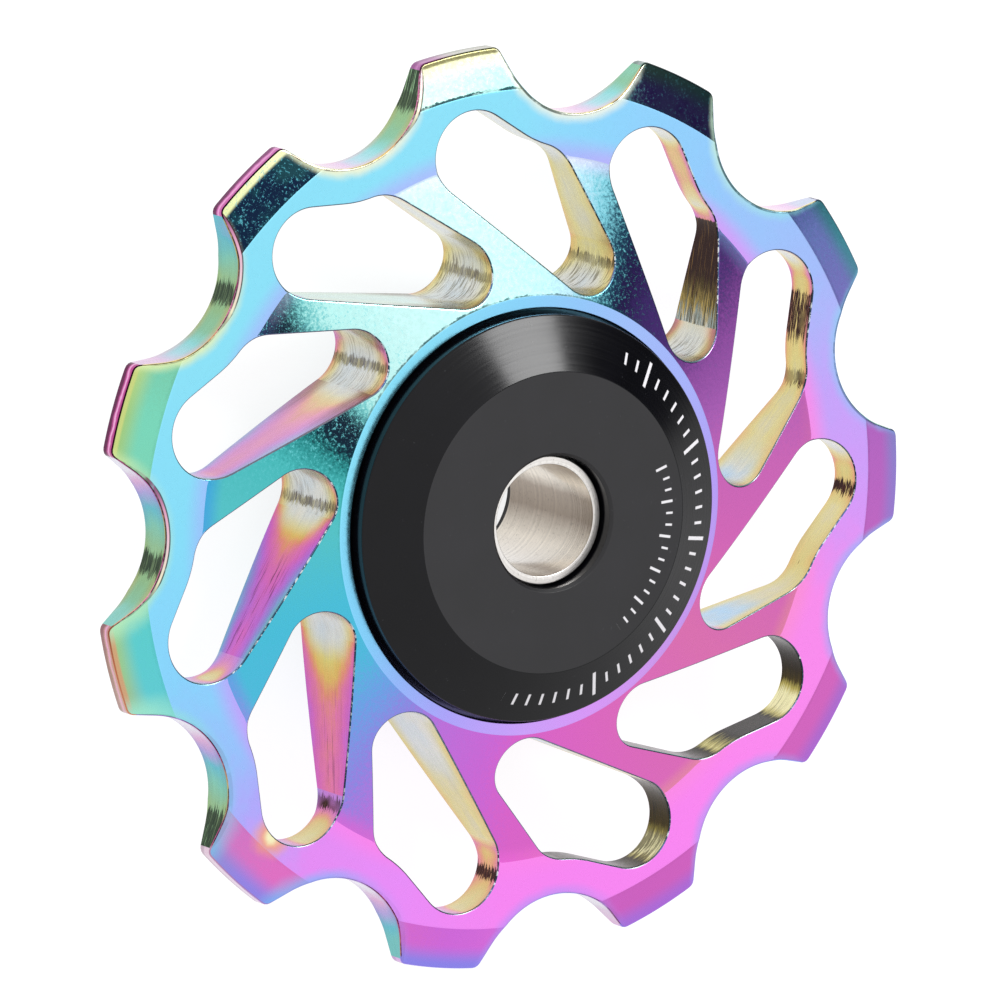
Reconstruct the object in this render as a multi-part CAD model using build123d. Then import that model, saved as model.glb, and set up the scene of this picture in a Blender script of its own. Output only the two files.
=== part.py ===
from build123d import *
from math import atan2, cos, degrees, hypot, pi, radians, sin, sqrt
import os

# Derailleur jockey wheel with a sealed ball bearing, in millimetres.
# The wheel's axis is Z, the origin is the wheel's centre, and one tooth points along +Y.

# Toothed wheel
teeth = 11
chain_pitch = 12.7
seat_radius = 4.07
tip_radius = 21.5
flank_lean = 20.0
tip_corner = 0.4
tip_thickness = 0.8
rim_thickness = 1.85
bevel_width = 2.0
rim_land = 2.03
hub_land = 0.56
hub_thickness = 5.1
edge_break = 0.08

# Windows between the spokes
rim_band = 1.65
window_head_radius = 2.08
window_shoulder_radius = 2.08
window_tail_radius = 1.56
relief_straight = 1.75
shoulder_swing = 9.1
tail_lean = 22.97
hub_web = 0.26

# Caps
cap_radius = 9.45
cap_gap = 0.15
cap_rise = 0.7
cap_cone = 2.45
cap_face_height = 2.05
cap_wall = 0.8
cap_boss_wall = 1.3
cap_edge_round = 0.12
cap_hole_chamfer = 0.14
recess_depth = 0.55
race_to_cap_roof = 0.45

# Axle sleeve
bolt_hole_radius = 2.6
sleeve_length = 7.2
sleeve_shift = 0.2
sleeve_chamfer = 0.08
sleeve_in_cap_gap = 0.1

# Ball bearing
bearing_bore_radius = 3.0
bearing_outer_radius = 7.5
bearing_width = 5.0
ball_count = 9
ball_diameter = 2.0
groove_conformity = 1.04
shoulder_height = 0.39
race_chamfer = 0.25
race_bore_chamfer = 0.15
fit_gap = 0.02
housing_lead_in = 0.2

# Seals
seal_depth = 0.8
seal_thickness = 0.5
seal_rebate = 0.3
seal_lip_gap = 0.05
seal_lip_width = 0.2
seal_lip_height = 0.15

# Ball cage
cage_strip = 0.25
cage_width = 1.0
pocket_gap = 0.06
rivet_radius = 0.2
rivet_head_radius = 0.36
rivet_head_height = 0.16
rivet_head_round = 0.08
rivet_gap = 0.01

# Worked out from the above
half_step = pi / teeth
pitch_radius = chain_pitch / (2 * sin(half_step))
bevel_start_radius = tip_radius - bevel_width
crease_radius = pitch_radius - seat_radius - rim_land
race_mid_radius = (bearing_bore_radius + bearing_outer_radius) / 2
ball_radius = ball_diameter / 2
groove_radius = ball_radius * groove_conformity
inner_shoulder_radius = race_mid_radius - groove_radius + shoulder_height
outer_shoulder_radius = race_mid_radius + groove_radius - shoulder_height
half_bearing = bearing_width / 2
recess_floor = hub_thickness / 2 - recess_depth
recess_radius = cap_radius + cap_gap
hub_land_radius = recess_radius + hub_land
cap_face_radius = cap_radius - cap_cone
cap_edge_height = hub_thickness / 2 + cap_rise
cap_top = half_bearing + cap_face_height


def turned(points):
    """A ring turned about Z from an outline of (radius, height) points."""
    section = make_face(Polyline(*[(r, 0, z) for r, z in points], close=True))
    return revolve(section, Axis.Z, 360)


def radius_of(shape):
    """How far the middle of a face, edge or point lies from the axis."""
    centre = shape.center()
    return hypot(centre.X, centre.Y)


def polar(radius, angle):
    """The point at a radius, turned clockwise from +Y by an angle in radians."""
    return Vector(radius * sin(angle), radius * cos(angle))


def arc_about(centre, start, end, clockwise):
    """An arc from start to end about a centre."""
    radius = (start - centre).length
    first = atan2(start.Y - centre.Y, start.X - centre.X)
    last = atan2(end.Y - centre.Y, end.X - centre.X)
    if clockwise and last > first:
        last -= 2 * pi
    if not clockwise and last < first:
        last += 2 * pi
    middle = (first + last) / 2
    return ThreePointArc(start, centre + Vector(radius * cos(middle), radius * sin(middle)), end)


def tangent_line(centre_a, radius_a, centre_b, radius_b):
    """Both ends of the line that touches two circles on its left, a negative radius on its right."""
    between = centre_b - centre_a
    along = between.normalized()
    left = Vector(-along.Y, along.X)
    share = (radius_a - radius_b) / between.length
    normal = along * share + left * sqrt(1 - share * share)
    return centre_a + normal * radius_a, centre_b + normal * radius_b


def roller_gap():
    """The gap between two teeth: a round seat for a chain roller, flared out along both flanks."""
    lean = radians(flank_lean)
    seat = polar(pitch_radius, half_step)
    foot = seat - Vector(cos(lean), sin(lean)) * seat_radius
    beyond = foot + Vector(-sin(lean), cos(lean)) * tip_radius
    next_foot = Vector(-foot.X, foot.Y).rotate(Axis.Z, -degrees(2 * half_step))
    next_beyond = Vector(-beyond.X, beyond.Y).rotate(Axis.Z, -degrees(2 * half_step))
    flare = make_face(Polyline(foot, beyond, next_beyond, next_foot, close=True))
    return flare + Pos(seat) * Circle(seat_radius)


def tooth_outline():
    """The closed outline of the teeth, their tips rounded at both corners."""
    gap = roller_gap()
    outline = Circle(tip_radius) - [place * gap for place in PolarLocations(0, teeth)]
    tips = [v for v in outline.vertices() if radius_of(v) > tip_radius - 0.01]
    return fillet(tips, tip_corner)


def window_outline():
    """One window between two spokes: a round head under a tooth and a narrow tail at the hub."""
    seat = polar(pitch_radius, half_step)
    relief_radius = seat_radius + rim_band
    head_to_seat = hypot(relief_radius + window_head_radius, relief_straight)
    head = Vector(0, seat.Y - sqrt(head_to_seat**2 - seat.X**2))
    tail = polar(hub_land_radius + hub_web + window_tail_radius, radians(tail_lean))
    swing = half_step + radians(shoulder_swing)
    inward = Vector(-sin(swing), -cos(swing))
    shoulder = seat + inward * (relief_radius + window_shoulder_radius)
    relief_end = seat + inward * relief_radius
    head_right, relief_start = tangent_line(head, window_head_radius, seat, -relief_radius)
    side_top, side_low = tangent_line(shoulder, window_shoulder_radius, tail, window_tail_radius)
    tail_left, head_left = tangent_line(tail, window_tail_radius, head, window_head_radius)
    return make_face(
        Wire(
            [
                arc_about(head, head_left, head_right, True),
                Line(head_right, relief_start),
                arc_about(seat, relief_start, relief_end, False),
                arc_about(shoulder, relief_end, side_top, True),
                Line(side_top, side_low),
                arc_about(tail, side_low, tail_left, True),
                Line(tail_left, head_left),
            ]
        )
    )


def toothed_wheel():
    """The one-piece wheel: dished web, raised hub, recess for each cap and the bearing seat."""
    slope = (rim_thickness - tip_thickness) / 2 / bevel_width
    beyond = tip_radius + tip_corner
    thin = tip_thickness / 2 - slope * tip_corner
    bore = bearing_outer_radius + fit_gap
    half = [
        (bore, recess_floor - housing_lead_in),
        (bore + housing_lead_in, recess_floor),
        (recess_radius, recess_floor),
        (recess_radius, hub_thickness / 2),
        (hub_land_radius, hub_thickness / 2),
        (crease_radius, rim_thickness / 2),
        (bevel_start_radius, rim_thickness / 2),
        (beyond, thin),
    ]
    body = turned(half + [(r, -z) for r, z in reversed(half)])
    body &= extrude(tooth_outline(), hub_thickness, both=True)
    window = extrude(window_outline(), hub_thickness, both=True)
    body -= [place * window for place in PolarLocations(0, teeth)]
    walls = [f for f in body.faces() if abs(f.normal_at().Z) < 0.01 and radius_of(f) > hub_land_radius]
    rims = [e for wall in walls for e in wall.edges() if abs(e.center().Z) > tip_thickness / 8]
    return chamfer(rims, edge_break)


def cap(side):
    """A dished cap: its boss clamps the inner race and its skirt sits in the wheel's recess."""
    hole = bearing_bore_radius + sleeve_in_cap_gap
    boss = hole + cap_boss_wall
    roof = half_bearing + race_to_cap_roof
    skirt = recess_floor + cap_gap
    points = [
        (hole, half_bearing),
        (boss, half_bearing),
        (boss, roof),
        (cap_radius - cap_wall, roof),
        (cap_radius - cap_wall, skirt),
        (cap_radius, skirt),
        (cap_radius, cap_edge_height),
        (cap_face_radius, cap_top),
        (hole + cap_hole_chamfer, cap_top),
        (hole, cap_top - cap_hole_chamfer),
    ]
    ring = turned([(r, side * z) for r, z in points])
    rim = [e for e in ring.edges() if abs(abs(e.center().Z) - cap_edge_height) < 0.01]
    return fillet([e for e in rim if abs(e.length - 2 * pi * cap_radius) < 1], cap_edge_round)


def axle_sleeve():
    """The plain bush that the axle bolt runs through."""
    low = sleeve_shift - sleeve_length / 2
    high = sleeve_shift + sleeve_length / 2
    outer = bearing_bore_radius
    return turned(
        [
            (bolt_hole_radius, low),
            (outer - sleeve_chamfer, low),
            (outer, low + sleeve_chamfer),
            (outer, high - sleeve_chamfer),
            (outer - sleeve_chamfer, high),
            (bolt_hole_radius, high),
        ]
    )


def ball_groove():
    """The round groove that the balls run in, common to both races."""
    section = Plane.XZ * Pos(race_mid_radius, 0) * Circle(groove_radius)
    return revolve(section, Axis.Z, 360)


def inner_race():
    """The bearing's inner race, which sits on the sleeve."""
    bore = bearing_bore_radius + fit_gap
    c = race_bore_chamfer
    top = half_bearing
    half = [(bore, top - c), (bore + c, top), (inner_shoulder_radius, top)]
    return turned(half + [(r, -z) for r, z in reversed(half)]) - ball_groove()


def outer_race():
    """The bearing's outer race, with a rebate for a seal in each face."""
    c = race_chamfer
    top = half_bearing
    rebate = outer_shoulder_radius + seal_rebate
    half = [
        (outer_shoulder_radius, top - seal_depth),
        (rebate, top - seal_depth),
        (rebate, top),
        (bearing_outer_radius - c, top),
        (bearing_outer_radius, top - c),
    ]
    return turned(half + [(r, -z) for r, z in reversed(half)]) - ball_groove()


def seal(side):
    """A seal snapped into the outer race, its lip just clear of the inner race."""
    inside = inner_shoulder_radius + seal_lip_gap
    outside = outer_shoulder_radius + seal_rebate - fit_gap
    low = half_bearing - seal_depth + fit_gap
    high = low + seal_thickness
    groove = inside + seal_lip_width
    points = [
        (inside, low),
        (outside, low),
        (outside, high),
        (groove + 2 * seal_lip_height, high),
        (groove + seal_lip_height, high - seal_lip_height),
        (groove, high),
        (inside, high),
    ]
    return turned([(r, side * z) for r, z in points])


def ball_places():
    return PolarLocations(race_mid_radius, ball_count)


def rivet_places():
    return PolarLocations(race_mid_radius, ball_count, start_angle=180 / ball_count)


def ball(k):
    """One ball, in its pocket of the cage."""
    return list(ball_places())[k] * Sphere(ball_radius)


def cage_half(side):
    """Half of the pressed cage: a flat strip with a round pocket over each ball."""
    pocket_radius = ball_radius + pocket_gap
    shell_radius = pocket_radius + cage_strip
    inner = race_mid_radius - cage_width / 2
    outer = race_mid_radius + cage_width / 2
    tall = 2 * shell_radius
    strip = turned([(inner, 0), (outer, 0), (outer, side * cage_strip), (inner, side * cage_strip)])
    band = turned([(inner, 0), (outer, 0), (outer, side * tall), (inner, side * tall)])
    shells = [place * Sphere(shell_radius) for place in ball_places()]
    pockets = [place * Sphere(pocket_radius) for place in ball_places()]
    holes = [place * Cylinder(rivet_radius + rivet_gap, tall) for place in rivet_places()]
    half = strip
    for shell in shells:
        half += band & shell
    return half - pockets - holes


def cage_rivets():
    """The rivets that hold both cage halves together, one between each two balls."""
    shank = Cylinder(rivet_radius, 2 * cage_strip)
    head = Cylinder(rivet_head_radius, rivet_head_height, align=(Align.CENTER, Align.CENTER, Align.MIN))
    head = fillet(head.edges().sort_by(Axis.Z)[-1:], rivet_head_round)
    rivet = shank + Pos(0, 0, cage_strip) * head
    rivet += Pos(0, 0, -cage_strip) * head.mirror(Plane.XY)
    return Compound(children=[place * rivet for place in rivet_places()])


def save(shape, name):
    shape.label = name
    export_step(shape, "parts/" + name + ".step")


os.makedirs("parts", exist_ok=True)
save(toothed_wheel(), "toothed_wheel")
save(cap(1), "front_cap")
save(cap(-1), "rear_cap")
save(axle_sleeve(), "axle_sleeve")
save(inner_race(), "bearing_inner_race")
save(outer_race(), "bearing_outer_race")
save(seal(1), "front_seal")
save(seal(-1), "rear_seal")
save(cage_half(1), "cage_front_half")
save(cage_half(-1), "cage_rear_half")
save(cage_rivets(), "cage_rivets")
for k in range(ball_count):
    save(ball(k), "ball_" + str(k + 1))
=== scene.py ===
import math

import bpy
import numpy as np
from mathutils import Matrix, Vector
from mathutils.geometry import delaunay_2d_cdt


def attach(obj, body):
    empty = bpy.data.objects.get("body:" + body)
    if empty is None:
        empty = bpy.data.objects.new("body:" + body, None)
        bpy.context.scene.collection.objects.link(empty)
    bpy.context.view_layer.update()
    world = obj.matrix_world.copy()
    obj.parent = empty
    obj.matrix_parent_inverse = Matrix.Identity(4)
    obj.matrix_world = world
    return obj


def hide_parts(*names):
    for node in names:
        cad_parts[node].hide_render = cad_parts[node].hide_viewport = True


# Looks for the derailleur jockey wheel. Lengths are in millimetres and become metres in each mesh.
# The wheel's axis is Z, tooth 0 points along +Y, and angles in the paint run from +X towards +Y.

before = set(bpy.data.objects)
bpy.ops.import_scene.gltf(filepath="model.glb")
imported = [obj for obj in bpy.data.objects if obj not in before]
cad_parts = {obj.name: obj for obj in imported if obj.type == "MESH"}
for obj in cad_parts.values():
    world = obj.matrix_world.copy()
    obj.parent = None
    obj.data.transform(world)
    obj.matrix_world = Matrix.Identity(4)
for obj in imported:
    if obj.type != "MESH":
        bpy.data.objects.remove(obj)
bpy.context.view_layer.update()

# Sizes shared with the CAD
teeth = 11
half_step = math.pi / teeth
chain_pitch = 12.7
seat_ring = chain_pitch / (2 * math.sin(half_step))
seat_r = 4.07
tip_r = 21.5
flank_lean = math.radians(20)
tip_corner = 0.4
half_tip = 0.4
half_rim = 0.925
bevel_r = 19.5
crease_r = seat_ring - seat_r - 2.03
land_r = 10.16
half_hub = 2.55
recess_r = 9.6
recess_floor = 2.0
bore_r = 7.52
lead_in = 0.2

# The wheel's faces and walls, each with its own paint
RIM, SPOKE, BEVEL, LAND, SEAT, TIP, WINDOW, LONG_SIDE = range(8)
TOOTH_EDGE, WINDOW_EDGE, HUB, DULL_WINDOW, STREAKED_WINDOW = range(8, 13)

# Fineness of the meshes, in millimetres and points
edge_round = 0.1
edge_rings = 4
crease_half = 0.05
step = 0.16
coarse_step = 0.4
loop_gap = 0.09
hub_points = 300
corner_turn = math.radians(11)
batch = 1000  # points handled at once, to save memory


def direction(angle):
    return np.array([math.cos(angle), math.sin(angle)])


def clockwise_from_y(radius, angle):
    return np.array([radius * math.sin(angle), radius * math.cos(angle)])


def arc(centre, radius, first, last, outward, kind):
    """Points, normals and wall kinds on an arc. outward is 1 where the empty side is outside the arc, else -1."""
    count = max(3, int(round(abs(last - first) * radius / step)))
    angles = first + (last - first) * np.arange(count) / count
    normal = np.stack([np.cos(angles), np.sin(angles)], 1)
    return np.array(centre) + normal * radius, normal * outward, np.full(count, kind)


def straight(start, end, normal, kind):
    count = max(1, int(round(np.linalg.norm(end - start) / (2 * step))))
    share = (np.arange(count) / count)[:, None]
    return start + (end - start) * share, np.tile(normal, (count, 1)), np.full(count, kind)


def chain(parts):
    return tuple(np.concatenate(column) for column in zip(*parts))


def angle_of(v):
    return math.atan2(v[1], v[0])


def sweep(centre, start, end, clockwise):
    first, last = angle_of(start - centre), angle_of(end - centre)
    if clockwise and last > first:
        last -= 2 * math.pi
    if not clockwise and last < first:
        last += 2 * math.pi
    return first, last


def tooth_loop():
    """The outline of all the teeth, clockwise, with normals that point away from the metal."""
    seat = clockwise_from_y(seat_ring, half_step)
    out = direction(flank_lean)
    up = np.array([-out[1], out[0]])
    foot = seat - out * seat_r
    base = foot - out * tip_corner
    along = base @ up
    t = -along + math.sqrt(along**2 - base @ base + (tip_r - tip_corner) ** 2)
    corner = base + up * t
    flank_top = foot + up * t
    tip_end = corner / np.linalg.norm(corner) * tip_r
    low = seat * (1 - seat_r / seat_ring)
    mirror = np.array([-1, 1])
    zero = np.zeros(2)
    left_seat = seat * mirror
    parts = [
        arc(left_seat, seat_r, *sweep(left_seat, low * mirror, foot * mirror, False), -1, SEAT),
        straight(foot * mirror, flank_top * mirror, out * mirror, SEAT),
        arc(corner * mirror, tip_corner, *sweep(corner * mirror, flank_top * mirror, tip_end * mirror, True), 1, TIP),
        arc(zero, tip_r, *sweep(zero, tip_end * mirror, tip_end, True), 1, TIP),
        arc(corner, tip_corner, *sweep(corner, tip_end, flank_top, True), 1, TIP),
        straight(flank_top, foot, out, SEAT),
        arc(seat, seat_r, *sweep(seat, foot, low, False), -1, SEAT),
    ]
    return turned_copies(*chain(parts), joined=True)


def turned_copies(points, normals, kinds, joined=False):
    loops = []
    for k in range(teeth):
        a = -2 * half_step * k
        turn = np.array([[math.cos(a), math.sin(a)], [-math.sin(a), math.cos(a)]])
        loops.append((points @ turn, normals @ turn, kinds))
    return [chain(loops)] if joined else loops


def tangent(centre_a, radius_a, centre_b, radius_b):
    between = centre_b - centre_a
    length = np.linalg.norm(between)
    along = between / length
    left = np.array([-along[1], along[0]])
    share = (radius_a - radius_b) / length
    normal = along * share + left * math.sqrt(1 - share * share)
    return centre_a + normal * radius_a, centre_b + normal * radius_b, normal


def window_loops():
    """The eleven windows between the spokes, as clockwise loops with normals into the openings."""
    head_r = shoulder_r = 2.08
    tail_r = 1.56
    relief = seat_r + 1.65
    hub_wall = 0.26
    tail_angle, shoulder_angle = math.radians(22.97), math.radians(9.1)
    seat = clockwise_from_y(seat_ring, half_step)
    head_shift = 1.75
    head_to_seat = math.hypot(relief + head_r, head_shift)
    head = np.array([0, seat[1] - math.sqrt(head_to_seat**2 - seat[0] ** 2)])
    tail = clockwise_from_y(land_r + hub_wall + tail_r, tail_angle)
    swing = half_step + shoulder_angle
    inward = np.array([-math.sin(swing), -math.cos(swing)])
    shoulder = seat + inward * (relief + shoulder_r)
    relief_end = seat + inward * relief
    head_right, relief_start, n1 = tangent(head, head_r, seat, -relief)
    side_top, side_low, n2 = tangent(shoulder, shoulder_r, tail, tail_r)
    tail_left, head_left, n3 = tangent(tail, tail_r, head, head_r)
    parts = [
        arc(head, head_r, *sweep(head, head_left, head_right, True), -1, WINDOW),
        straight(head_right, relief_start, -n1, WINDOW),
        arc(seat, relief, *sweep(seat, relief_start, relief_end, False), 1, WINDOW),
        arc(shoulder, shoulder_r, *sweep(shoulder, relief_end, side_top, True), -1, WINDOW),
        straight(side_top, side_low, -n2, WINDOW),
        arc(tail, tail_r, *sweep(tail, side_low, tail_left, True), -1, WINDOW),
        straight(tail_left, head_left, -n3, LONG_SIDE),
    ]
    loops = turned_copies(*chain(parts))
    for k, kind in ((1, DULL_WINDOW), (2, DULL_WINDOW), (9, STREAKED_WINDOW)):
        points, normals, kinds = loops[k]
        loops[k] = (points, normals, np.where(kinds == WINDOW, kind, kinds))
    return loops


# The front face's slope by radius, eased over each crease
creases = (land_r, crease_r, bevel_r)
profile_r = np.array([0] + [c + side * crease_half for c in creases for side in (-1, 1)] + [tip_r + 1])
cone_slope = (half_rim - half_hub) / (crease_r - land_r)
bevel_slope = (half_tip - half_rim) / (tip_r - bevel_r)
profile_slope = np.array([0, 0, cone_slope, cone_slope, 0, 0, bevel_slope, bevel_slope])


def height(r):
    """The front face's height over the middle plane."""
    z = np.where(r < land_r, half_hub, half_hub + cone_slope * (r - land_r))
    z = np.where(r > crease_r, half_rim, z)
    return np.where(r > bevel_r, half_rim + bevel_slope * (r - bevel_r), z)


def face_normal(xy):
    r = np.linalg.norm(xy, axis=1)
    slope = np.interp(r, profile_r, profile_slope)
    n = np.stack([-slope * xy[:, 0] / r, -slope * xy[:, 1] / r, np.ones(len(r))], 1)
    return n / np.linalg.norm(n, axis=1)[:, None]


def inside(points, loop):
    """Which points lie in a closed loop."""
    a, b = loop, np.roll(loop, -1, axis=0)
    result = np.zeros(len(points), bool)
    near = np.where(np.all((points > loop.min(0)) & (points < loop.max(0)), axis=1))[0]
    for s in range(0, len(near), batch):
        i = near[s : s + batch]
        x, y = points[i, 0][:, None], points[i, 1][:, None]
        crosses = (a[:, 1] > y) != (b[:, 1] > y)
        with np.errstate(divide="ignore", invalid="ignore"):
            at = (b[:, 0] - a[:, 0]) * (y - a[:, 1]) / (b[:, 1] - a[:, 1]) + a[:, 0]
        result[i] = (np.sum(crosses & (x < at), axis=1) % 2) == 1
    return result


def clear_of(points, others, gap):
    keep = np.ones(len(points), bool)
    for s in range(0, len(points), batch):
        d = points[s : s + batch, None, :] - others[None, :, :]
        keep[s : s + batch] = np.min(np.einsum("ijk,ijk->ij", d, d), axis=1) > gap * gap
    return keep


def face_mesh(outer, windows, hub):
    """Triangles over the front face in plan, and where each loop's points ended up."""
    loops = [outer] + windows + [hub]

    def in_metal(points):
        result = inside(points, outer) & ~inside(points, hub)
        for w in windows:
            result &= ~inside(points, w)
        return result

    rows = []
    for crease in creases:
        rows += [(crease - crease_half, step), (crease + crease_half, step)]
    for low, high in ((land_r, crease_r), (crease_r, bevel_r), (bevel_r, tip_r)):
        inner = np.linspace(low, high, int((high - low) / coarse_step) + 1)[1:-1]
        rows += [(r, coarse_step) for r in inner]
    grid = []
    for j, (r, spacing) in enumerate(rows):
        count = int(2 * math.pi * r / spacing)
        a = (np.arange(count) + 0.5 * (j % 2)) * 2 * math.pi / count
        grid.append(np.stack([r * np.cos(a), r * np.sin(a)], 1))
    grid = np.concatenate(grid)
    on_loops = np.concatenate(loops)
    grid = grid[in_metal(grid)]
    grid = grid[clear_of(grid, on_loops, loop_gap)]
    points = np.concatenate([on_loops, grid])
    edges, start = [], 0
    for loop in loops:
        n = len(loop)
        edges += [(start + i, start + (i + 1) % n) for i in range(n)]
        start += n
    found = delaunay_2d_cdt([Vector(p) for p in points], edges, [], 0, 1e-6)
    verts = np.array([(v.x, v.y) for v in found[0]])
    where = np.full(len(points), -1)
    for new, olds in enumerate(found[3]):
        for old in olds:
            where[old] = new
    tris = np.array(found[2])
    tris = tris[in_metal(verts[tris].mean(axis=1))]
    places, start = [], 0
    for loop in loops:
        places.append(where[start : start + len(loop)])
        start += len(loop)
    return verts, tris, places


def linked(name, data):
    """A new object in the scene."""
    obj = bpy.data.objects.new(name, data)
    bpy.context.scene.collection.objects.link(obj)
    return obj


class Mesh:
    """Vertices in millimetres, their normals, and faces with a material number each."""

    def __init__(self):
        self.verts, self.normals, self.faces, self.kinds = [], [], [], []
        self.count = 0

    def add(self, verts, normals):
        first = self.count
        self.verts.append(verts)
        self.normals.append(normals)
        self.count += len(verts)
        return first + np.arange(len(verts))

    def skin(self, faces, kinds):
        self.faces += [tuple(int(i) for i in f) for f in faces]
        self.kinds += list(kinds) if hasattr(kinds, "__len__") else [kinds] * len(faces)

    def strip(self, a, b, kind):
        """A closed band of quads between two rows of vertices, with one kind or one for each quad."""
        self.skin(np.stack([a, np.roll(a, -1), np.roll(b, -1), b], 1), kind)

    def build(self, name, materials):
        verts = np.concatenate(self.verts)
        normals = np.concatenate(self.normals)
        faces = []
        for f in self.faces:
            p = verts[list(f)]
            turn = np.cross(p[1] - p[0], p[2] - p[0]) + (np.cross(p[2] - p[0], p[3] - p[0]) if len(f) == 4 else 0)
            faces.append(f if turn @ normals[list(f)].sum(axis=0) > 0 else f[::-1])
        data = bpy.data.meshes.new(name)
        data.from_pydata((verts / 1000).tolist(), [], faces)
        for m in materials:
            data.materials.append(m)
        data.polygons.foreach_set("material_index", self.kinds)
        data.polygons.foreach_set("use_smooth", [True] * len(faces))
        data.normals_split_custom_set_from_vertices(normals.tolist())
        data.update()
        return linked(name, data)


def ring_points(r, z, count, phase=0.0):
    a = phase + np.arange(count) * 2 * math.pi / count
    return np.stack([r * np.cos(a), r * np.sin(a), np.full(count, z)], 1), a


def rounded(points):
    """A closed outline of (radius, height, rounding) as (radius, height, normal) rows with rounded corners."""
    rows = []
    n = len(points)
    for i in range(n):
        before, at, after = (np.array(points[(i + k) % n][:2], float) for k in (-1, 0, 1))
        size = points[i][2]
        u, v = at - before, after - at
        u, v = u / np.linalg.norm(u), v / np.linalg.norm(v)
        nu, nv = np.array([u[1], -u[0]]), np.array([v[1], -v[0]])
        if size == 0:
            rows += [(at, nu), (at, nv)]
            continue
        bend = math.acos(np.clip(u @ v, -1, 1))
        reach = size * math.tan(bend / 2)
        side = 1 if (u[0] * v[1] - u[1] * v[0]) > 0 else -1
        centre = at - u * reach - nu * size * side
        count = max(2, int(bend / corner_turn))
        for k in range(count + 1):
            a = bend * k / count
            normal = nu * math.cos(a) + u * math.sin(a) * side
            rows.append((centre + normal * size * side, normal))
    return rows


def lathe(outline, count, kind_of=lambda r, z: 0):
    """A turned ring from an outline that runs anticlockwise in the (radius, height) plane."""
    mesh = Mesh()
    rows = rounded(outline)
    rings = []
    for (r, z), (nr, nz) in rows:
        verts, a = ring_points(r, z, count)
        normals = np.stack([nr * np.cos(a), nr * np.sin(a), np.full(count, nz)], 1)
        rings.append(mesh.add(verts, normals))
    for i in range(len(rings)):
        j = (i + 1) % len(rings)
        if np.linalg.norm(rows[i][0] - rows[j][0]) > 1e-6:
            mesh.strip(rings[i], rings[j], kind_of(*((rows[i][0] + rows[j][0]) / 2)))
    return mesh


def wheel_mesh():
    """The toothed wheel: two dished faces, rounded along every edge, with the walls between them."""
    mesh = Mesh()
    loops = tooth_loop() + window_loops()
    _, a = ring_points(recess_r, 0, hub_points)
    radial = np.stack([np.cos(a), np.sin(a)], 1)
    loops.append((radial * recess_r, -radial, np.full(hub_points, HUB)))
    inset = [p - n * edge_round for p, n, kind in loops]
    plan, tris, places = face_mesh(inset[0], inset[1:-1], inset[-1])
    r = np.linalg.norm(plan, axis=1)
    middle = np.linalg.norm(plan[tris].mean(axis=1), axis=1)
    zone = zone_of(middle)
    for side in (1, -1):
        verts = np.column_stack([plan, side * height(r)])
        normals = face_normal(plan) * [1, 1, side]
        ids = mesh.add(verts, normals)
        mesh.skin(ids[tris], zone)
        ends = []
        for (p, n, kind), place in zip(loops, places):
            row = ids[place]
            edge_kind = HUB if kind[0] == HUB else TOOTH_EDGE if kind[0] == SEAT else WINDOW_EDGE
            base = face_normal(p - n * edge_round)
            for k in range(1, edge_rings + 1):
                a = math.pi / 2 * k / edge_rings
                q = p - n * edge_round * (1 - math.sin(a))
                z = height(np.linalg.norm(q, axis=1)) - edge_round * (1 - math.cos(a))
                normal = base * math.cos(a) + np.column_stack([n, np.zeros(len(n))]) * math.sin(a)
                normal /= np.linalg.norm(normal, axis=1)[:, None]
                new = mesh.add(np.column_stack([q, side * z]), normal * [1, 1, side])
                if k == 1:
                    mesh.strip(row, new, zone_of(np.linalg.norm(q, axis=1)))
                else:
                    mesh.strip(row, new, kind if k == edge_rings else edge_kind)
                row = new
            ends.append(row)
        if side == 1:
            front_ends = ends
    for i in range(len(loops) - 1):
        mesh.strip(front_ends[i], ends[i], loops[i][2])
    seat = [(recess_r, recess_floor, 0), (bore_r + lead_in, recess_floor, 0), (bore_r, recess_floor - lead_in, 0)]
    outline = [(q[0], q[1]) for q in seat] + [(q[0], -q[1]) for q in reversed(seat)]
    previous = front_ends[-1]
    at = None
    for i, (rr, zz) in enumerate(outline):
        verts, a = ring_points(rr, zz, hub_points)
        if i == 0:
            new = mesh.add(verts, np.stack([-np.cos(a), -np.sin(a), 0 * a], 1))
            mesh.strip(previous, new, HUB)
        else:
            d = np.array([rr, zz]) - at
            nr, nz = -d[1] / np.linalg.norm(d), d[0] / np.linalg.norm(d)
            sign = -1 if nr > 0.01 or (abs(nr) < 0.01 and nz * at[1] < 0) else 1
            normal = np.stack([sign * nr * np.cos(a), sign * nr * np.sin(a), np.full(len(a), sign * nz)], 1)
            first = mesh.add(ring_points(*at, hub_points)[0], normal)
            mesh.strip(first, mesh.add(verts, normal), HUB)
        at = np.array([rr, zz])
    last = mesh.add(ring_points(*at, hub_points)[0], np.stack([-np.cos(a), -np.sin(a), 0 * a], 1))
    mesh.strip(last, ends[-1], HUB)
    return mesh


def zone_of(r):
    """The kind of face at each radius. The narrow strip on a crease goes with the face inside it."""
    outer = r - crease_half
    return np.select([outer > bevel_r, outer > crease_r, outer > land_r], [BEVEL, RIM, SPOKE], LAND)


# The Mix node's sockets for colours
FACTOR, COLOUR_A, COLOUR_B, MIXED_COLOUR = 0, 6, 7, 2


def linear(code):
    """A colour written as six hex digits, as the linear values that Blender takes."""
    values = [int(code[i : i + 2], 16) / 255 for i in (0, 2, 4)]
    return [v / 12.92 if v <= 0.04045 else ((v + 0.055) / 1.055) ** 2.4 for v in values] + [1]


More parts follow.
